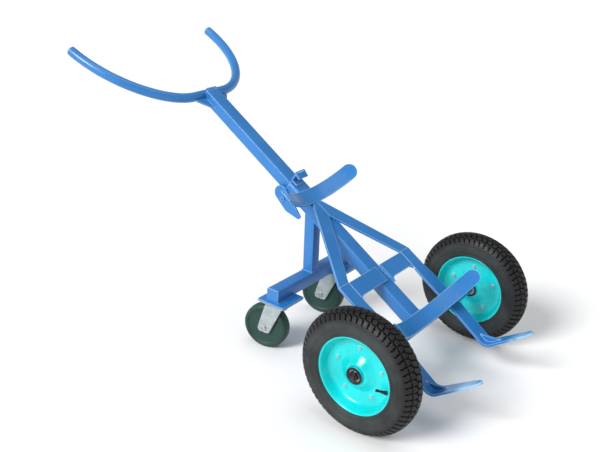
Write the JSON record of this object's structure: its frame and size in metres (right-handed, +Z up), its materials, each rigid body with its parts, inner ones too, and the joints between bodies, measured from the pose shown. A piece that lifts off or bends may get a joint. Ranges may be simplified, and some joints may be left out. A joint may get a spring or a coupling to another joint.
{
  "type": "drum dolly",
  "caption": "Leaning two-wheel drum truck with a U handlebar, curved drum straps, bent toes, a sliding cam-locked rim hook and a rear beam on swivel casters.",
  "frame": {"origin": "on the floor, under the centre of the object's bounding box", "axes": "+Z up; +X to the operator's left; +Y from the toes towards the handlebar, where the operator stands; -Y is the side that takes the drum"},
  "size_m": [0.7926, 1.5608, 0.9367],
  "materials": {
    "frame_paint": "glossy blue enamel over welded steel",
    "rim_paint": "glossy turquoise enamel on pressed steel",
    "zinc_plate": "zinc-plated pressed steel, satin",
    "bare_steel": "machined steel, lightly oiled",
    "tyre_rubber": "black rubber with a block tread",
    "caster_rubber": "dark green moulded rubber, matte"
  },
  "bodies": {
    "frame": {"axle_nut_left": "bare_steel", "axle_nut_right": "bare_steel", "axle_shaft": "bare_steel", "axle_tube": "frame_paint", "beam_cap_left": "frame_paint", "beam_cap_right": "frame_paint", "caster_pad_left": "frame_paint", "caster_pad_right": "frame_paint", "caster_plate_left": "zinc_plate", "caster_plate_right": "zinc_plate", "cross_plate_left": "frame_paint", "cross_plate_right": "frame_paint", "handle_gusset_left": "frame_paint", "handle_gusset_right": "frame_paint", "handle_plug_left": "frame_paint", "handle_plug_right": "frame_paint", "handlebar": "frame_paint", "kingpin_left": "bare_steel", "kingpin_right": "bare_steel", "lower_strap": "frame_paint", "rear_beam": "frame_paint", "riser_tube": "frame_paint", "side_member_left": "frame_paint", "side_member_right": "frame_paint", "spine_tube": "frame_paint", "toe_gusset_left": "frame_paint", "toe_gusset_right": "frame_paint", "upper_strap": "frame_paint"},
    "wheel_left": {"bearing_inner_left": "bare_steel", "bearing_outer_left": "bare_steel", "hub_tube_left": "rim_paint", "rim_bolt_1_left": "zinc_plate", "rim_bolt_2_left": "zinc_plate", "rim_bolt_3_left": "zinc_plate", "rim_bolt_4_left": "zinc_plate", "rim_bolt_5_left": "zinc_plate", "rim_inner_left": "rim_paint", "rim_outer_left": "rim_paint", "tyre_left": "tyre_rubber"},
    "wheel_right": {"bearing_inner_right": "bare_steel", "bearing_outer_right": "bare_steel", "hub_tube_right": "rim_paint", "rim_bolt_1_right": "zinc_plate", "rim_bolt_2_right": "zinc_plate", "rim_bolt_3_right": "zinc_plate", "rim_bolt_4_right": "zinc_plate", "rim_bolt_5_right": "zinc_plate", "rim_inner_right": "rim_paint", "rim_outer_right": "rim_paint", "tyre_right": "tyre_rubber"},
    "caster_swivel_left": {"caster_axle_left": "zinc_plate", "caster_fork_left": "zinc_plate"},
    "caster_roller_left": {"caster_wheel_left": "caster_rubber"},
    "caster_swivel_right": {"caster_axle_right": "zinc_plate", "caster_fork_right": "zinc_plate"},
    "caster_roller_right": {"caster_wheel_right": "caster_rubber"},
    "hook": {"drum_hook": "frame_paint"},
    "lever": {"cam_lever": "frame_paint", "cam_shaft": "zinc_plate"}
  },
  "joints": [
    {"name": "wheel_spin_left", "type": "hinge", "parent": "frame", "child": "wheel_left", "pos_m": [0.3523, -0.48428, 0.196], "axis": [1, 0, 0], "continuous": true},
    {"name": "wheel_spin_right", "type": "hinge", "parent": "frame", "child": "wheel_right", "pos_m": [-0.3523, -0.48428, 0.196], "axis": [1, 0, 0], "continuous": true},
    {"name": "caster_swivel_left", "type": "hinge", "parent": "frame", "child": "caster_swivel_left", "pos_m": [0.161, -0.03428, 0.19], "axis": [0, 0, 1], "continuous": true},
    {"name": "caster_spin_left", "type": "hinge", "parent": "caster_swivel_left", "child": "caster_roller_left", "pos_m": [0.15031, 0.01354, 0.08], "axis": [0.9759, 0.2181, 0], "continuous": true},
    {"name": "caster_swivel_right", "type": "hinge", "parent": "frame", "child": "caster_swivel_right", "pos_m": [-0.161, -0.03428, 0.19], "axis": [0, 0, 1], "continuous": true},
    {"name": "caster_spin_right", "type": "hinge", "parent": "caster_swivel_right", "child": "caster_roller_right", "pos_m": [-0.17169, 0.01354, 0.08], "axis": [0.9759, 0.2181, 0], "continuous": true},
    {"name": "hook_slide", "type": "slide", "parent": "frame", "child": "hook", "axis": [0, 0.8407, 0.5416], "range_m": [0, 0.3]},
    {"name": "lever_turn", "type": "hinge", "parent": "hook", "child": "lever", "pos_m": [0, 0.06316, 0.49014], "axis": [1, 0, 0], "range_deg": [0, 90]}
  ]
}
